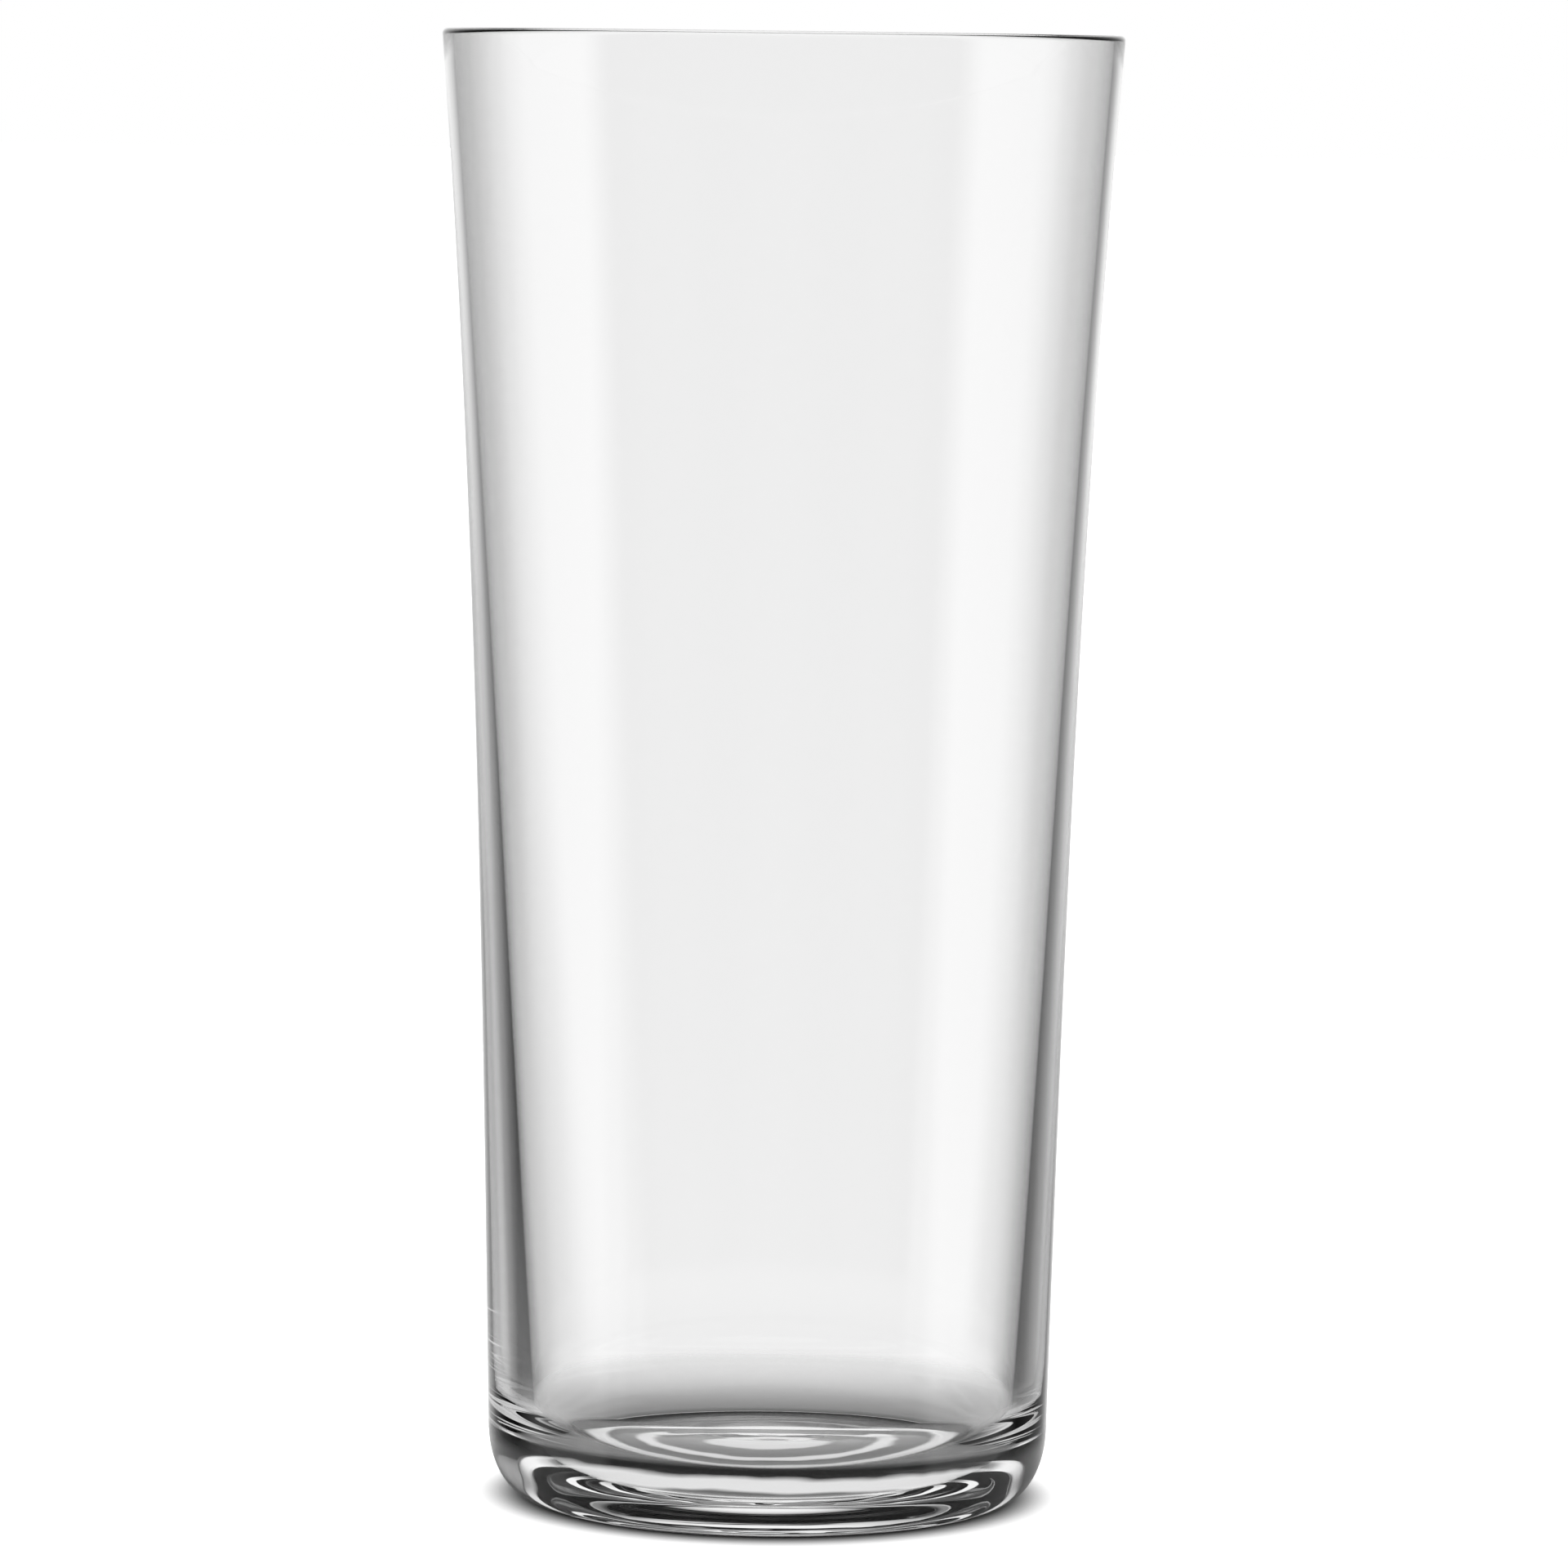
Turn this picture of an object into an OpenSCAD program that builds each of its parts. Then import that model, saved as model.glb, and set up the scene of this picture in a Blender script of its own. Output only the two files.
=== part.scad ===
// Highball tumbler: one piece of clear glass, turned about +Z.
// The origin is the centre of the foot, on the plane that the glass stands on.

/* [Body] */
// Overall height, foot to lip
glass_h = 156; // [130:1:180]
// Outside diameter across the rim
rim_d = 72; // [64:0.5:84]
// Outside diameter of the body where it meets the heel
base_d = 59.8; // [52:0.1:64]
// Share of the flare that is held back for the upper body, so that the side curves
flare_curl_share = 0.46; // [0:0.02:0.8]

/* [Wall] */
// Thickness of the wall at the lip
wall_rim = 1.1; // [0.8:0.1:2]
// Thickness of the wall where it meets the heel
wall_base = 4.2; // [2.5:0.1:6]
// How soon the wall thins on its way up: 1 is an even taper
thinning_power = 2; // [1:0.1:3]

/* [Base] */
// How far the rounded heel reaches in under the body
heel_w = 4.6; // [2:0.1:8]
// How far the rounded heel reaches up the outside
heel_h = 7.6; // [2:0.1:11]
// Thickness of the glass between the hollow underside and the floor of the cavity
floor_t = 2.8; // [2.5:0.1:10]
// Radius between the floor of the cavity and its side
cavity_r = 8.5; // [4:0.5:14]
// Slope, in degrees, at which the floor of the cavity leaves that radius, to be level at its centre
floor_slope = 1; // [0:0.5:8]
// Width of the ring that the glass stands on
foot_ring_w = 5; // [1:0.2:8]
// Depth of the hollow underside at its centre
punt_depth = 0.8; // [0.2:0.1:2]

/* [Hidden] */
// Faces round the turned body
$fn = 180;
// Steps along each long side of the wall, along each rounding, and across the underside and the floor
wall_steps = 26;
round_steps = 12;
punt_steps = 10;
floor_steps = 4;

rim_r = rim_d / 2;
base_r = base_d / 2;
lip_r = wall_rim / 2;

// Lean of the outer wall, in degrees off the axis, at share u of its height
function flare_share(u) = (1 - flare_curl_share) * u + flare_curl_share * pow(u, 3);
function flare_slope_share(u) = (1 - flare_curl_share) + 3 * flare_curl_share * pow(u, 2);
function lean(u) = atan(flare_slope_share(u) * (rim_r - base_r) / (glass_h - heel_h));

// The heel is part of an ellipse, from the foot round to where it has the lean of the wall
heel_end = -atan(heel_h / heel_w * tan(lean(0)));
foot_r = base_r - heel_w * cos(heel_end);
punt_r = foot_r - foot_ring_w;

// The outer wall runs from the end of the heel to the start of the lip
wall_bottom_z = heel_h * (1 + sin(heel_end));
wall_top_z = glass_h - lip_r * (1 + sin(lean(1)));
function wall_z(u) = wall_bottom_z + u * (wall_top_z - wall_bottom_z);
function wall_r(u) = base_r + flare_share(u) * (rim_r - base_r);
function outer(u) = [wall_r(u), wall_z(u)];

// The inner wall is the outer one set in, square to it, by a thickness that grows towards the base
function wall_t(u) = wall_rim + (wall_base - wall_rim) * pow(1 - u, thinning_power);
function square_to_wall(u) = [cos(lean(u)), -sin(lean(u))];
function inner(u) = outer(u) - wall_t(u) * square_to_wall(u);

// Lean of the inner wall, read over a short step, which the cavity's rounding runs into
lean_step_share = 0.01;
function inner_step(u) = inner(u + lean_step_share) - inner(u);
function inner_lean(u) = atan2(inner_step(u)[0], inner_step(u)[1]);

// The floor of the cavity dips from the end of the rounding to its centre, where floor_t is measured
function bowl_r(u) = inner(u)[0] - cavity_r * (cos(inner_lean(u)) - sin(floor_slope));
function bowl_dip(u) = tan(floor_slope) * bowl_r(u) / 2;
function bowl_edge_z(u) = punt_depth + floor_t + bowl_dip(u);

// Share of the wall's height at which the rounding meets the inner wall, closed in on by repeating
function meet_z(u) = bowl_edge_z(u) + cavity_r * (cos(floor_slope) - sin(inner_lean(u)));
function closer(u) = u + (meet_z(u) - inner(u)[1]) / (wall_top_z - wall_bottom_z);
meet_u = closer(closer(closer(closer(0))));

// Points on a rounding with reach w and height h about c, from angle a to angle b
function rounding(c, w, h, a, b) =
    [for (i = [0:round_steps]) let (t = a + (b - a) * i / round_steps) c + [w * cos(t), h * sin(t)]];

// The hollow underside falls away from the foot ring and is level again at its centre
function punt_z(share) = punt_depth * (1 + cos(180 * share)) / 2;

module profile() {
    underside = [for (i = [0:punt_steps]) [punt_r * i / punt_steps, punt_z(i / punt_steps)]];
    heel = rounding(outer(0) - [heel_w * cos(heel_end), heel_h * sin(heel_end)], heel_w, heel_h, -90, heel_end);
    outside = [for (i = [1:wall_steps - 1]) outer(i / wall_steps)];
    lip = rounding(outer(1) - lip_r * square_to_wall(1), lip_r, lip_r, -lean(1), 180 - lean(1));
    inside = [for (i = [wall_steps - 1:-1:1]) inner(meet_u + (1 - meet_u) * i / wall_steps)];
    meet_lean = inner_lean(meet_u);
    meet_square = [cos(meet_lean), -sin(meet_lean)];
    cavity = rounding(inner(meet_u) - cavity_r * meet_square, cavity_r, cavity_r, -meet_lean, floor_slope - 90);
    bowl = [for (i = [1:floor_steps]) let (s = 1 - i / floor_steps)
        [bowl_r(meet_u) * s, bowl_edge_z(meet_u) - bowl_dip(meet_u) * (1 - pow(s, 2))]];
    polygon(concat(underside, heel, outside, lip, inside, cavity, bowl));
}

module tumbler() {
    color("aliceblue", 0.4) rotate_extrude() profile();
}

tumbler();
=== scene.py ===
from math import atan, atan2, cos, pi, radians, sin, tan

import bmesh
import bpy
from mathutils import Euler, Matrix, Vector


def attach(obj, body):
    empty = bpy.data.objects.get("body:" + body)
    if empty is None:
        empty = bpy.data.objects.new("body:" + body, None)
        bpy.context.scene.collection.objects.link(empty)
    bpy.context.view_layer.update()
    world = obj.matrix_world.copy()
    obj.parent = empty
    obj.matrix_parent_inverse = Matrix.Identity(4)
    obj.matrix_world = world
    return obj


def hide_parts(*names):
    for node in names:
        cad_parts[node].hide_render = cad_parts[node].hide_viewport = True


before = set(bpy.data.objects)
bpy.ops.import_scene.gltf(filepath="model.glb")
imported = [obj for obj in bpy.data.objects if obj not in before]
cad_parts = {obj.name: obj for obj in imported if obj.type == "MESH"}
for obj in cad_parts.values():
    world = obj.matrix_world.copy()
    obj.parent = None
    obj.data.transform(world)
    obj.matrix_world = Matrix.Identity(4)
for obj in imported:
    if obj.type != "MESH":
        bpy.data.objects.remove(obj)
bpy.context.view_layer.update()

MM = 0.001

# Sizes of the glass in millimetres and degrees, the same as in the construction
GLASS_H = 156.0
RIM_D = 72.0
BASE_D = 59.8
FLARE_CURL_SHARE = 0.46
WALL_RIM = 1.1
WALL_BASE = 4.2
THINNING_POWER = 2.0
HEEL_W = 4.6
HEEL_H = 7.6
FLOOR_T = 2.8
CAVITY_R = 8.5
FLOOR_SLOPE = 1.0
FOOT_RING_W = 5.0
PUNT_DEPTH = 0.8

# What the hot glass adds to the drawn form, in millimetres: a cavity off centre, and a wavy wall.
# The waves come in and go out at these shares of the height.
CAVITY_SHIFT = 0.4
WAVE_HEIGHT = 0.02
WAVE_SIZE = 24.0
WAVE_IN = 0.1
WAVE_OUT_FROM = 0.9
WAVE_OUT_TO = 0.98

# Ripples in the middle of the underside, fading from this share of their reach, and rings outside them
RIPPLE_HEIGHT = 0.14
RIPPLE_SIZE = 6.0
RIPPLE_REACH = 12.0
RIPPLE_FADE = 0.5
RING_HEIGHT = 0.02
RING_PITCH = 5.0
RING_START = 1.4
GLASS_SEED = 3.0

# The glass itself, and the traces on its surface: features per metre, roughness, and depth in metres
GLASS_IOR = 1.52
SMUDGE_SCALE = 40.0
SMUDGE_FROM = 0.55
SMUDGE_TO = 0.8
SMUDGE_ROUGHNESS = 0.012
POLISH_SCALE = 60.0
POLISH_STRENGTH = 0.02
POLISH_DEPTH = 0.0001

# Steps of the turned mesh
SIDES = 320
UNDERSIDE_STEPS = 70
HEEL_STEPS = 30
WALL_STEPS = 44
LIP_STEPS = 16
CAVITY_STEPS = 30
FLOOR_STEPS = 24
LEAN_STEP = 0.01
WELD = 1e-6

# Camera, fitted to the outline of the glass in the photo: millimetres, degrees, and pixels of the frame
CAMERA_AWAY = 850.0
CAMERA_Z = 158.6
PITCH = 5.53
ROLL = 0.70
YAW_PX = -11.0
FRAME_PX = 1920
FOCAL_PX = 9827.0
SENSOR = 36.0

# The light tent, in metres: degrees off the line of view, and the tone there, on either hand
LEFT_TONES = (
    (0, 1.0), (8, 1.0), (14, 0.87), (20, 0.73), (25, 0.6), (30, 0.31), (38, 0.09), (45, 0.02),
    (56, 0.02), (64, 0.3), (72, 0.7), (108, 0.7), (114, 0.06), (180, 0.06),
)
RIGHT_TONES = (
    (0, 1.0), (8, 1.0), (14, 0.87), (20, 0.6), (25, 0.36), (30, 0.25), (38, 0.13), (45, 0.11),
    (56, 0.06), (64, 0.3), (72, 0.7), (108, 0.7), (114, 0.06), (180, 0.06),
)
TENT_R = 3.0
TENT_Z = 0.078
TENT_SIDES = 64
TENT_RINGS = 32
# The tent's tones change with the sine of the elevation: fainter overhead, and pale again far below
TENT_UP_FROM = 0.3
TENT_UP_TO = 0.6
TENT_UP_TONE = 0.3
TENT_DOWN_FROM = -0.7
TENT_DOWN_TO = -0.2
TENT_DOWN_TONE = 0.9

# The table, in metres. It lies a hair below the foot, and the table near the glass half of that.
TABLE_R = 8.0
NEAR_TABLE_R = 0.12
TABLE_Z = -0.00004
TABLE_TONE = 0.92
TABLE_SIDES = 128
# The table from outside: its glow, which is taken away near the foot, and painted shade along the line of
# contact, by distance from the axis
GLOW_FROM = 0.026
GLOW_TO = 0.034
GLOW_TONE = 0.8
PAINTED_CONTACT_SHADE_FROM = 0.025
PAINTED_CONTACT_SHADE_TO = 0.031
PAINTED_CONTACT_SHADE_TONE = 0.4
# The table through the glass: painted rings of light inside the foot, by distance from the axis, in place
# of the light the glass throws, and painted shade near the foot
PAINTED_RINGS_R = 0.025
PAINTED_LIGHT_RINGS = (
    (0.0, 0.75), (0.0065, 0.75), (0.0075, 0.15), (0.0122, 0.15), (0.013, 0.8), (0.0142, 0.8),
    (0.015, 0.12), (0.0182, 0.12), (0.0192, 0.8), (0.022, 0.8), (0.0234, 0.02), (0.025, 0.02),
)
RING_WOBBLE = 0.003
RING_WOBBLE_SIZE = 0.009
SHADE_FROM = 0.028
SHADE_TO = 0.045
SHADE_TONE = 0.5
FADE_FROM = 0.033
FADE_TO = 0.066

WHITE = (1, 1, 1, 1)
BOUNCES = 12


class Value:
    """A socket that Python's operators work on. Each operation adds a Math node to the socket's tree."""

    def __init__(self, tree, socket):
        self.tree = tree
        self.socket = socket

    def maths(self, operation, *others):
        links = dict(enumerate((self, *others)))
        return add(self.tree, "ShaderNodeMath", {"operation": operation}, links)

    def vector(self, operation, *others, out="Vector"):
        links = dict(enumerate((self, *others)))
        return add(self.tree, "ShaderNodeVectorMath", {"operation": operation}, links, out)

    def smooth(self, start, end, low, high):
        places = {"From Min": start, "From Max": end, "To Min": low, "To Max": high}
        settings = {"interpolation_type": "SMOOTHSTEP"}
        return add(self.tree, "ShaderNodeMapRange", settings, {"Value": self, **places})

    def out(self, name):
        return Value(self.tree, self.socket.node.outputs[name])

    def __add__(self, other):
        return self.maths("ADD", other)

    def __sub__(self, other):
        return self.maths("SUBTRACT", other)

    def __rsub__(self, other):
        return add(self.tree, "ShaderNodeMath", {"operation": "SUBTRACT"}, {0: other, 1: self})

    def __mul__(self, other):
        return self.maths("MULTIPLY", other)

    def __truediv__(self, other):
        return self.maths("DIVIDE", other)

    def __rtruediv__(self, other):
        return add(self.tree, "ShaderNodeMath", {"operation": "DIVIDE"}, {0: other, 1: self})

    def __gt__(self, other):
        return self.maths("GREATER_THAN", other)

    def __lt__(self, other):
        return self.maths("LESS_THAN", other)

    __radd__ = __add__
    __rmul__ = __mul__


def add(tree, kind, settings=None, links=None, out=0):
    """Adds a node: its settings first, then a value or a link for each socket that is named."""
    node = tree.nodes.new(kind)
    for name, value in (settings or {}).items():
        setattr(node, name, value)
    for key, value in (links or {}).items():
        if isinstance(value, Value):
            tree.links.new(value.socket, node.inputs[key])
        else:
            node.inputs[key].default_value = value
    return Value(tree, node.outputs[out]) if node.outputs else node


def tone_ramp(tree, stops, place):
    """Plain grey tones at the given places, from 0 to 1, with even steps between them."""
    ramp = add(tree, "ShaderNodeValToRGB", None, {0: place})
    elements = ramp.socket.node.color_ramp.elements
    for share, tone in stops[1:-1]:
        elements.new(share)
    for element, (share, tone) in zip(elements, stops):
        element.position = share
        element.color = (tone, tone, tone, 1)
    return ramp


def fresh_material(name):
    material = bpy.data.materials.new(name)
    material.use_nodes = True
    material.node_tree.nodes.clear()
    return material


def link(name, mesh):
    made = bpy.data.objects.new(name, mesh)
    bpy.context.scene.collection.objects.link(made)
    return made


class Outline:
    """Half of the section through the glass, from the middle of the underside to that of the inside."""

    def __init__(self):
        self.rim_r = RIM_D / 2
        self.base_r = BASE_D / 2
        self.lip_r = WALL_RIM / 2
        self.heel_end = -atan(HEEL_H / HEEL_W * tan(self.lean(0)))
        self.foot_r = self.base_r - HEEL_W * cos(self.heel_end)
        self.punt_r = self.foot_r - FOOT_RING_W
        self.bottom_z = HEEL_H * (1 + sin(self.heel_end))
        self.top_z = GLASS_H - self.lip_r * (1 + sin(self.lean(1)))
        self.slope = radians(FLOOR_SLOPE)
        self.meet = self.meeting()

    def lean(self, u):
        share = (1 - FLARE_CURL_SHARE) + 3 * FLARE_CURL_SHARE * u ** 2
        return atan(share * (self.rim_r - self.base_r) / (GLASS_H - HEEL_H))

    def outer(self, u):
        share = (1 - FLARE_CURL_SHARE) * u + FLARE_CURL_SHARE * u ** 3
        r = self.base_r + share * (self.rim_r - self.base_r)
        return Vector((r, self.bottom_z + u * (self.top_z - self.bottom_z)))

    def square(self, u):
        return Vector((cos(self.lean(u)), -sin(self.lean(u))))

    def inner(self, u):
        wall = WALL_RIM + (WALL_BASE - WALL_RIM) * max(1 - u, 0) ** THINNING_POWER
        return self.outer(u) - wall * self.square(u)

    def inner_lean(self, u):
        step = self.inner(u + LEAN_STEP) - self.inner(u)
        return atan2(step.x, step.y)

    def bowl_r(self, u):
        return self.inner(u).x - CAVITY_R * (cos(self.inner_lean(u)) - sin(self.slope))

    def bowl_dip(self, u):
        return tan(self.slope) * self.bowl_r(u) / 2

    def bowl_edge_z(self, u):
        return PUNT_DEPTH + FLOOR_T + self.bowl_dip(u)

    def meeting(self):
        u = 0.0
        for _ in range(5):
            z = self.bowl_edge_z(u) + CAVITY_R * (cos(self.slope) - sin(self.inner_lean(u)))
            u += (z - self.inner(u).y) / (self.top_z - self.bottom_z)
        return u

    def punt_z(self, share):
        return PUNT_DEPTH * (1 + cos(pi * share)) / 2

    def rounding(self, centre, reach, start, end, steps):
        turns = [start + (end - start) * i / steps for i in range(steps + 1)]
        return [centre + Vector((reach[0] * cos(t), reach[1] * sin(t))) for t in turns]

    def outside(self):
        """The rows that are seen from outside, up to the top of the lip."""
        shares = [i / UNDERSIDE_STEPS for i in range(UNDERSIDE_STEPS + 1)]
        rows = [Vector((self.punt_r * share, self.punt_z(share))) for share in shares]
        reach = Vector((HEEL_W, HEEL_H))
        end = Vector((HEEL_W * cos(self.heel_end), HEEL_H * sin(self.heel_end)))
        rows += self.rounding(self.outer(0) - end, reach, -pi / 2, self.heel_end, HEEL_STEPS)
        rows += [self.outer(i / WALL_STEPS) for i in range(1, WALL_STEPS)]
        lean = self.lean(1)
        centre = self.outer(1) - self.lip_r * self.square(1)
        rows += self.rounding(centre, (self.lip_r, self.lip_r), -lean, pi / 2, LIP_STEPS)
        return rows

    def inside(self):
        """The rows that are seen from inside, from the top of the lip."""
        lean = self.lean(1)
        centre = self.outer(1) - self.lip_r * self.square(1)
        rows = self.rounding(centre, (self.lip_r, self.lip_r), pi / 2, pi - lean, LIP_STEPS)[1:]
        shares = [self.meet + (1 - self.meet) * i / WALL_STEPS for i in range(WALL_STEPS - 1, 0, -1)]
        rows += [self.inner(u) for u in shares]
        lean = self.inner_lean(self.meet)
        centre = self.inner(self.meet) - CAVITY_R * Vector((cos(lean), -sin(lean)))
        reach = (CAVITY_R, CAVITY_R)
        rows += self.rounding(centre, reach, -lean, self.slope - pi / 2, CAVITY_STEPS)
        edge_r = self.bowl_r(self.meet)
        edge_z = self.bowl_edge_z(self.meet)
        dip = self.bowl_dip(self.meet)
        for i in range(1, FLOOR_STEPS + 1):
            share = 1 - i / FLOOR_STEPS
            rows.append(Vector((edge_r * share, edge_z - dip * (1 - share ** 2))))
        return rows


TURNING_INPUTS = {
    "Rows": "NodeSocketInt",
    "Sides": "NodeSocketInt",
    "Lip Row": "NodeSocketInt",
    "Foot Row": "NodeSocketInt",
    "Height": "NodeSocketFloat",
    "Cavity Shift": "NodeSocketFloat",
    "Wave Height": "NodeSocketFloat",
    "Wave Size": "NodeSocketFloat",
    "Ripple Height": "NodeSocketFloat",
    "Ripple Size": "NodeSocketFloat",
    "Ripple Reach": "NodeSocketFloat",
    "Ring Height": "NodeSocketFloat",
    "Ring Pitch": "NodeSocketFloat",
    "Seed": "NodeSocketFloat",
    "Material": "NodeSocketMaterial",
}


def turning_tree():
    """Turns a row of points about Z, moves the cavity a little off centre and ripples the hot glass."""
    tree = bpy.data.node_groups.new("turned glass", "GeometryNodeTree")
    face = tree.interface
    face.new_socket("Geometry", in_out="INPUT", socket_type="NodeSocketGeometry")
    for name, kind in TURNING_INPUTS.items():
        face.new_socket(name, in_out="INPUT", socket_type=kind)
    face.new_socket("Geometry", in_out="OUTPUT", socket_type="NodeSocketGeometry")
    given = add(tree, "NodeGroupInput")

    rows = given.out("Rows")
    sides = given.out("Sides")
    grid = add(tree, "GeometryNodeMeshGrid", None, {
        "Size X": 1.0, "Size Y": 1.0, "Vertices X": rows, "Vertices Y": sides + 1,
    })
    place = add(tree, "ShaderNodeSeparateXYZ", None, {0: add(tree, "GeometryNodeInputPosition")})
    row = ((place.out("X") + 0.5) * (rows - 1)).maths("ROUND")
    turn = (place.out("Y") + 0.5) * (2 * pi)

    drawn = add(tree, "GeometryNodeInputPosition")
    sampled = add(tree, "GeometryNodeSampleIndex", {"data_type": "FLOAT_VECTOR"}, {
        "Geometry": given, "Value": drawn, "Index": row,
    })
    point = add(tree, "ShaderNodeSeparateXYZ", None, {0: sampled})
    r = point.out("X")
    z = point.out("Z")
    x = r * turn.maths("COSINE")
    y = r * turn.maths("SINE")
    seed = given.out("Seed")

    inside = row > given.out("Lip Row")
    height = given.out("Height")
    low = z.smooth(0.0, height, 1.0, 0.0)
    x = x + inside * low * given.out("Cavity Shift")

    around = add(tree, "ShaderNodeCombineXYZ", None, {0: x, 1: y, 2: z + seed + inside})
    wave = add(tree, "ShaderNodeTexNoise", None, {
        "Vector": around, "Scale": 1 / given.out("Wave Size"), "Detail": 1.0, "Roughness": 0.4,
    })
    wave = wave * given.out("Wave Height") * z.smooth(0.0, WAVE_IN * height, 0.0, 1.0)
    wave = wave * z.smooth(WAVE_OUT_FROM * height, WAVE_OUT_TO * height, 1.0, 0.0)
    pull = 1 - wave / r.maths("MAXIMUM", WELD)
    x = x * pull
    y = y * pull

    flat = add(tree, "ShaderNodeCombineXYZ", None, {0: x, 1: y, 2: seed})
    ripple = add(tree, "ShaderNodeTexNoise", None, {
        "Vector": flat, "Scale": 1 / given.out("Ripple Size"), "Detail": 1.5, "Roughness": 0.45,
    })
    reach = given.out("Ripple Reach")
    under = row < given.out("Foot Row")
    ripple = (ripple - 0.5) * 2 * given.out("Ripple Height")
    ripple = ripple * r.smooth(RIPPLE_FADE * reach, reach, 1.0, 0.0)
    rings = (r * (2 * pi) / given.out("Ring Pitch")).maths("COSINE") * given.out("Ring Height")
    rings = rings * r.smooth(reach, RING_START * reach, 1.0, 0.0)
    z = z + under * (ripple + rings)

    moved = add(tree, "ShaderNodeCombineXYZ", None, {0: x, 1: y, 2: z})
    turned = add(tree, "GeometryNodeSetPosition", None, {"Geometry": grid, "Position": moved})
    welded = add(tree, "GeometryNodeMergeByDistance", None, {"Geometry": turned, "Distance": WELD})
    out = add(tree, "GeometryNodeFlipFaces", None, {0: welded})
    smooth = add(tree, "GeometryNodeSetShadeSmooth", None, {"Geometry": out, "Shade Smooth": True})
    real = add(tree, "GeometryNodeRealizeInstances", None, {"Geometry": smooth})
    material = given.out("Material")
    glassy = add(tree, "GeometryNodeSetMaterial", None, {"Geometry": real, "Material": material})
    add(tree, "NodeGroupOutput", None, {0: glassy})
    return tree


def glass_material():
    """Clear fire-polished glass: a trace of waviness, and roughness only where it was touched."""
    material = fresh_material("clear glass")
    tree = material.node_tree
    place = add(tree, "ShaderNodeTexCoord", out="Object")
    waves = add(tree, "ShaderNodeTexNoise", None, {"Vector": place, "Scale": POLISH_SCALE, "Detail": 1.0})
    bump = add(tree, "ShaderNodeBump", None, {
        "Strength": POLISH_STRENGTH, "Distance": POLISH_DEPTH, "Height": waves,
    })
    smudge = add(tree, "ShaderNodeTexNoise", None, {"Vector": place, "Scale": SMUDGE_SCALE, "Detail": 3.0})
    rough = smudge.smooth(SMUDGE_FROM, SMUDGE_TO, 0.0, SMUDGE_ROUGHNESS)
    shader = add(tree, "ShaderNodeBsdfPrincipled", None, {
        "Base Color": WHITE, "IOR": GLASS_IOR, "Transmission Weight": 1.0,
        "Roughness": rough, "Normal": bump,
    })
    add(tree, "ShaderNodeOutputMaterial", None, {"Surface": shader})
    return material


def blow_glass(material):
    """Draws the outline as a row of points, turns it, and keeps the turned mesh as the visible piece."""
    outline = Outline()
    outside = outline.outside()
    rows = outside + outline.inside()
    points = [(p.x * MM, 0, p.y * MM) for p in rows]
    steps = [(i, i + 1) for i in range(len(rows) - 1)]
    mesh = bpy.data.meshes.new("outline")
    mesh.from_pydata(points, steps, [])
    mesh.materials.append(material)
    drawn = link("outline", mesh)
    tree = turning_tree()
    modifier = drawn.modifiers.new("turned glass", "NODES")
    modifier.node_group = tree
    sizes = {
        "Rows": len(rows), "Sides": SIDES, "Lip Row": len(outside) - 1, "Foot Row": UNDERSIDE_STEPS,
        "Height": GLASS_H * MM, "Cavity Shift": CAVITY_SHIFT * MM,
        "Wave Height": WAVE_HEIGHT * MM, "Wave Size": WAVE_SIZE * MM,
        "Ripple Height": RIPPLE_HEIGHT * MM, "Ripple Size": RIPPLE_SIZE * MM,
        "Ripple Reach": RIPPLE_REACH * MM, "Ring Height": RING_HEIGHT * MM,
        "Ring Pitch": RING_PITCH * MM, "Seed": GLASS_SEED, "Material": material,
    }
    for item in tree.interface.items_tree:
        if item.in_out == "INPUT" and item.name in sizes:
            modifier[item.identifier] = sizes[item.name]
    seen = drawn.evaluated_get(bpy.context.evaluated_depsgraph_get())
    made = link("tumbler_glass", bpy.data.meshes.new_from_object(seen))
    made.data.name = "tumbler_glass"
    bpy.data.objects.remove(drawn)
    return made


def ball(name, radius):
    mesh = bpy.data.meshes.new(name)
    shape = bmesh.new()
    bmesh.ops.create_uvsphere(shape, u_segments=TENT_SIDES, v_segments=TENT_RINGS, radius=radius)
    shape.to_mesh(mesh)
    shape.free()
    return link(name, mesh)


def disc(name, radius, z):
    turns = [2 * pi * i / TABLE_SIDES for i in range(TABLE_SIDES)]
    points = [(radius * cos(t), radius * sin(t), z) for t in turns]
    mesh = bpy.data.meshes.new(name)
    mesh.from_pydata(points, [], [tuple(range(TABLE_SIDES))])
    return link(name, mesh)


def degrees_ramp(tree, tones, away):
    return tone_ramp(tree, [(degrees / 180, tone) for degrees, tone in tones], away)


def tent_material():
    """White behind the glass, then dark flags, soft lights at the sides, and dark behind the camera."""
    material = fresh_material("light tent")
    tree = material.node_tree
    place = add(tree, "ShaderNodeTexCoord", out="Object")
    way = add(tree, "ShaderNodeSeparateXYZ", None, {0: place.vector("NORMALIZE")})
    turn = way.out("X").maths("ARCTAN2", way.out("Y")) / pi
    away = turn.maths("ABSOLUTE")
    on_right = turn > 0.0
    left = degrees_ramp(tree, LEFT_TONES, away)
    right = degrees_ramp(tree, RIGHT_TONES, away)
    z = way.out("Z")
    above = z.smooth(TENT_UP_FROM, TENT_UP_TO, 1.0, TENT_UP_TONE)
    below = z.smooth(TENT_DOWN_FROM, TENT_DOWN_TO, TENT_DOWN_TONE, 0.0)
    tone = ((left * (1 - on_right) + right * on_right) * above).maths("MAXIMUM", below)
    light = add(tree, "ShaderNodeEmission", None, {"Color": WHITE, "Strength": tone})
    add(tree, "ShaderNodeOutputMaterial", None, {"Surface": light})
    return material


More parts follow.
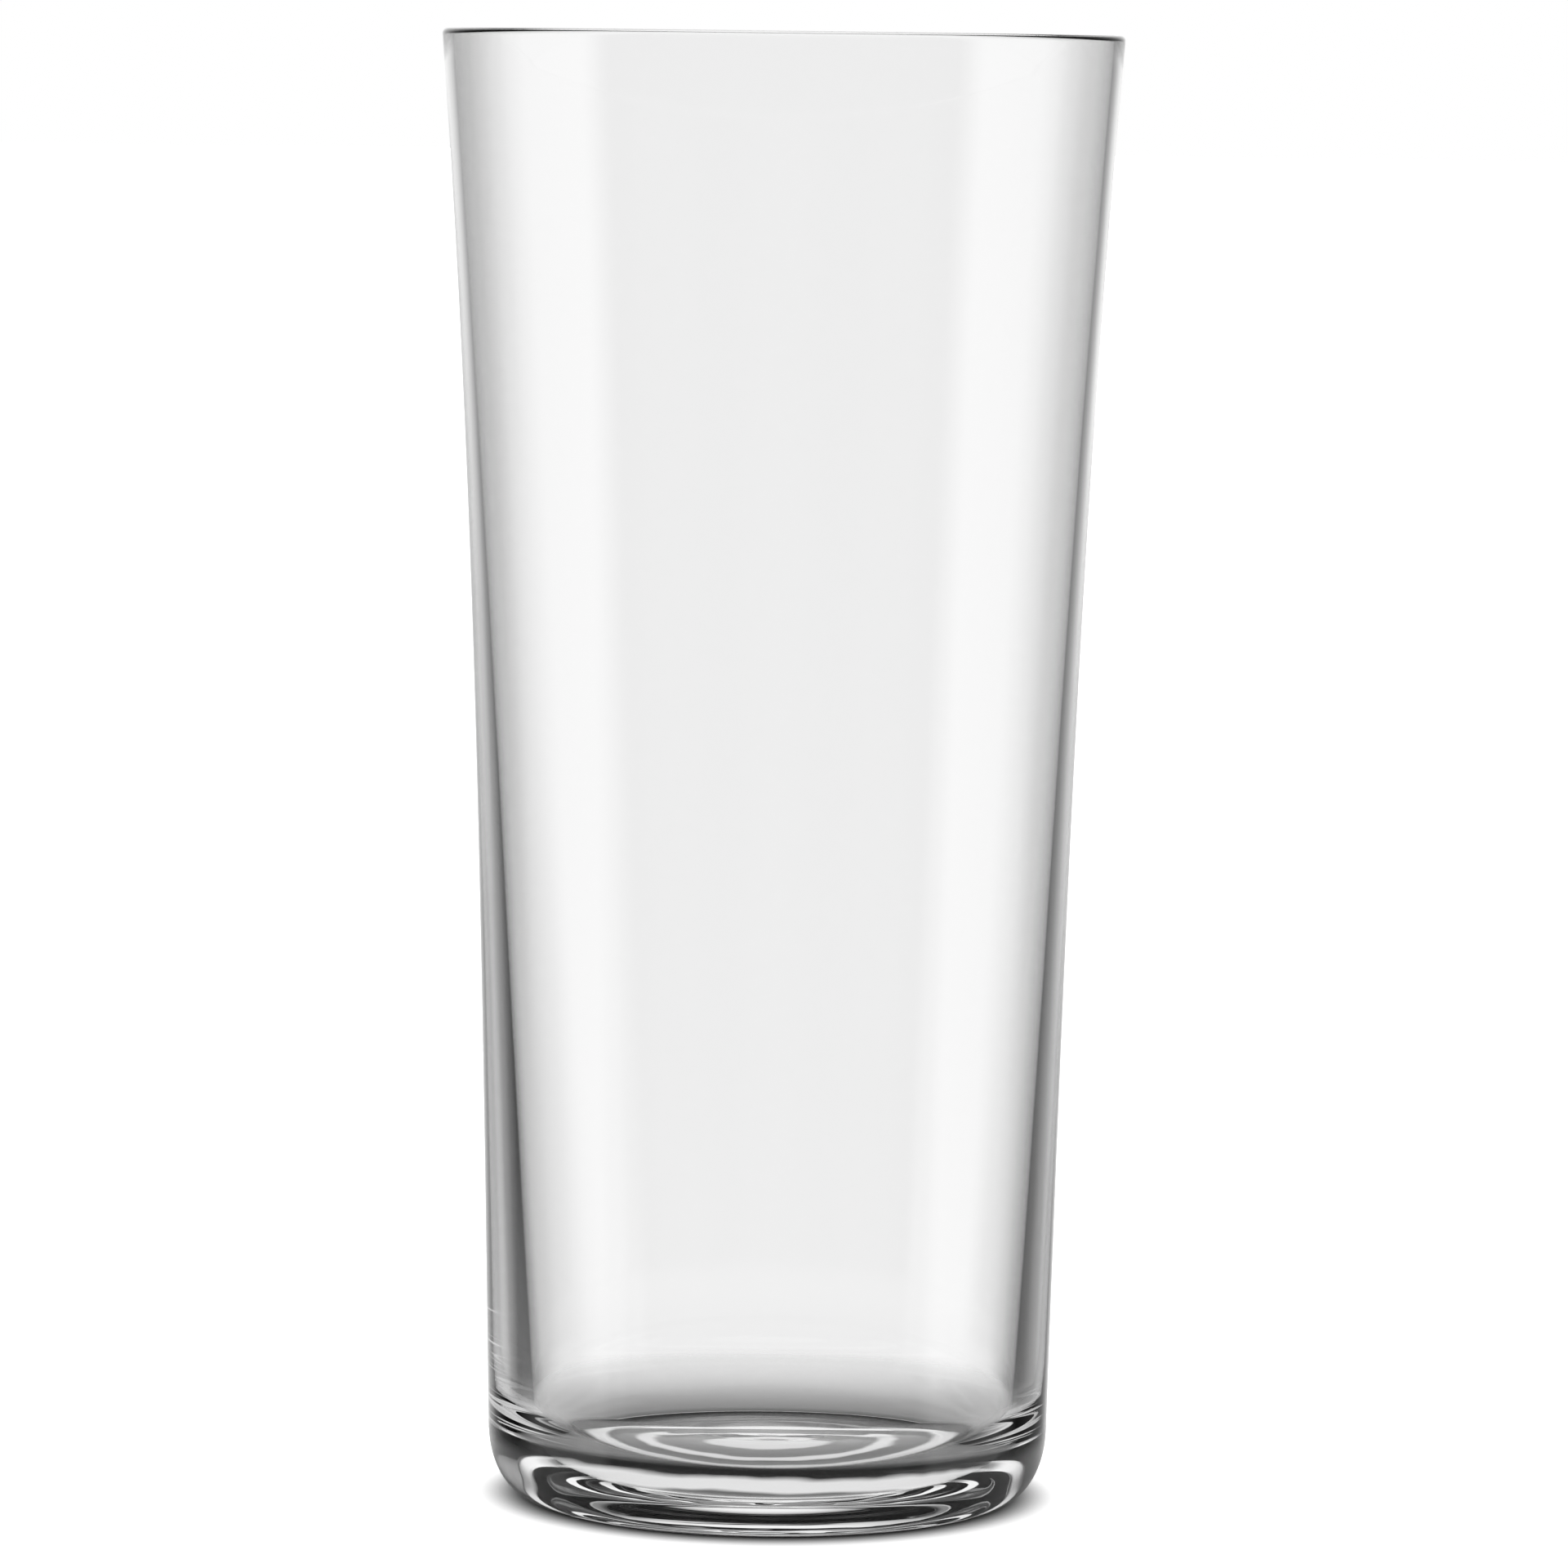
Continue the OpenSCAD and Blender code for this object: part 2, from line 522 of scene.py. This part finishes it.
def off_axis(tree):
    """Distance from the axis of the glass."""
    place = add(tree, "ShaderNodeTexCoord", out="Object")
    return place.vector("MULTIPLY", (1, 1, 0)).vector("LENGTH", out="Value")


def table_material():
    """A plain pale table that glows away from the glass, so that only the shadow near the foot shows;
    painted shade darkens it along the line of contact.
    """
    material = fresh_material("pale table")
    tree = material.node_tree
    r = off_axis(tree)
    # Painted shade: the table's tone is darker along the line of contact with the foot
    tone = r.smooth(PAINTED_CONTACT_SHADE_FROM, PAINTED_CONTACT_SHADE_TO, PAINTED_CONTACT_SHADE_TONE, TABLE_TONE)
    pale = add(tree, "ShaderNodeBsdfDiffuse", None, {"Color": tone})
    # The glow keeps the table white, and is taken away near the foot so that the shadow there shows
    glow = r.smooth(GLOW_FROM, GLOW_TO, 0.0, GLOW_TONE)
    light = add(tree, "ShaderNodeEmission", None, {"Color": WHITE, "Strength": glow})
    both = add(tree, "ShaderNodeAddShader", None, {0: pale, 1: light})
    add(tree, "ShaderNodeOutputMaterial", None, {"Surface": both})
    return material


def near_table_material():
    """The table as the glass shows it: painted rings of light inside the foot, painted shade near it, and
    passing into the tent farther out.
    """
    material = fresh_material("pale table near the glass")
    tree = material.node_tree
    r = off_axis(tree)
    # Painted shade: the table that the glass shows is darker near the foot
    shade = r.smooth(SHADE_FROM, SHADE_TO, SHADE_TONE, TABLE_TONE)
    pale = add(tree, "ShaderNodeBsdfDiffuse", None, {"Color": shade})
    place = add(tree, "ShaderNodeTexCoord", out="Object")
    uneven = add(tree, "ShaderNodeTexNoise", None, {
        "Vector": place, "Scale": 1 / RING_WOBBLE_SIZE, "Detail": 2.0,
    })
    # Painted light: rings of glow under the foot, wobbled by noise, in place of the light that the glass
    # throws
    ring = (r + (uneven - 0.5) * RING_WOBBLE) / PAINTED_RINGS_R
    glow = tone_ramp(tree, [(at / PAINTED_RINGS_R, tone) for at, tone in PAINTED_LIGHT_RINGS], ring)
    light = add(tree, "ShaderNodeEmission", None, {"Color": WHITE, "Strength": glow})
    both = add(tree, "ShaderNodeAddShader", None, {0: pale, 1: light})
    clear = add(tree, "ShaderNodeBsdfTransparent", None, {"Color": WHITE})
    fade = r.smooth(FADE_FROM, FADE_TO, 0.0, 1.0)
    mixed = add(tree, "ShaderNodeMixShader", None, {0: fade, 1: both, 2: clear})
    add(tree, "ShaderNodeOutputMaterial", None, {"Surface": mixed})
    return material


def set_studio():
    """Even light from all round, and a table for the camera with another that shows through the glass."""
    world = bpy.data.worlds.new("studio")
    bpy.context.scene.world = world
    world.use_nodes = True
    world.node_tree.nodes.clear()
    light = add(world.node_tree, "ShaderNodeBackground", None, {"Color": WHITE, "Strength": 1.0})
    add(world.node_tree, "ShaderNodeOutputWorld", None, {"Surface": light})

    table = disc("table", TABLE_R, TABLE_Z)
    table.data.materials.append(table_material())
    table.visible_transmission = False
    table.visible_glossy = False

    near = disc("table_near_glass", NEAR_TABLE_R, TABLE_Z / 2)
    near.data.materials.append(near_table_material())
    near.visible_camera = False
    near.visible_diffuse = False
    near.visible_shadow = False


def set_camera():
    data = bpy.data.cameras.new("camera")
    data.sensor_width = SENSOR
    data.lens = FOCAL_PX / FRAME_PX * SENSOR
    camera = link("camera", data)
    aim = Euler((radians(90 - PITCH), 0, YAW_PX / FOCAL_PX), "XYZ").to_matrix().to_4x4()
    aim = aim @ Matrix.Rotation(radians(ROLL), 4, "Z")
    aim.translation = Vector((0, -CAMERA_AWAY * MM, CAMERA_Z * MM))
    camera.matrix_world = aim
    bpy.context.scene.camera = camera
    return camera


def hang_tent(camera):
    """The tent turns with the camera, as on a turntable, so that the glass is lit alike from every side."""
    tent = ball("light_tent", TENT_R)
    tent.data.materials.append(tent_material())
    tent.visible_camera = False
    tent.visible_diffuse = False
    tent.visible_shadow = False
    tent.location = (0, 0, TENT_Z)
    bpy.context.view_layer.update()
    tent.parent = camera
    tent.matrix_parent_inverse = camera.matrix_world.inverted()


glass = blow_glass(glass_material())
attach(glass, "root")
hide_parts("tumbler")

set_studio()
hang_tent(set_camera())

# The glass casts a plain contact shadow: the light that it throws is painted on the table near the glass as
# rings of light
scene = bpy.context.scene
scene.view_settings.view_transform = "Standard"
scene.cycles.caustics_refractive = False
scene.cycles.caustics_reflective = False
scene.cycles.max_bounces = BOUNCES
scene.cycles.glossy_bounces = BOUNCES
scene.cycles.transmission_bounces = BOUNCES
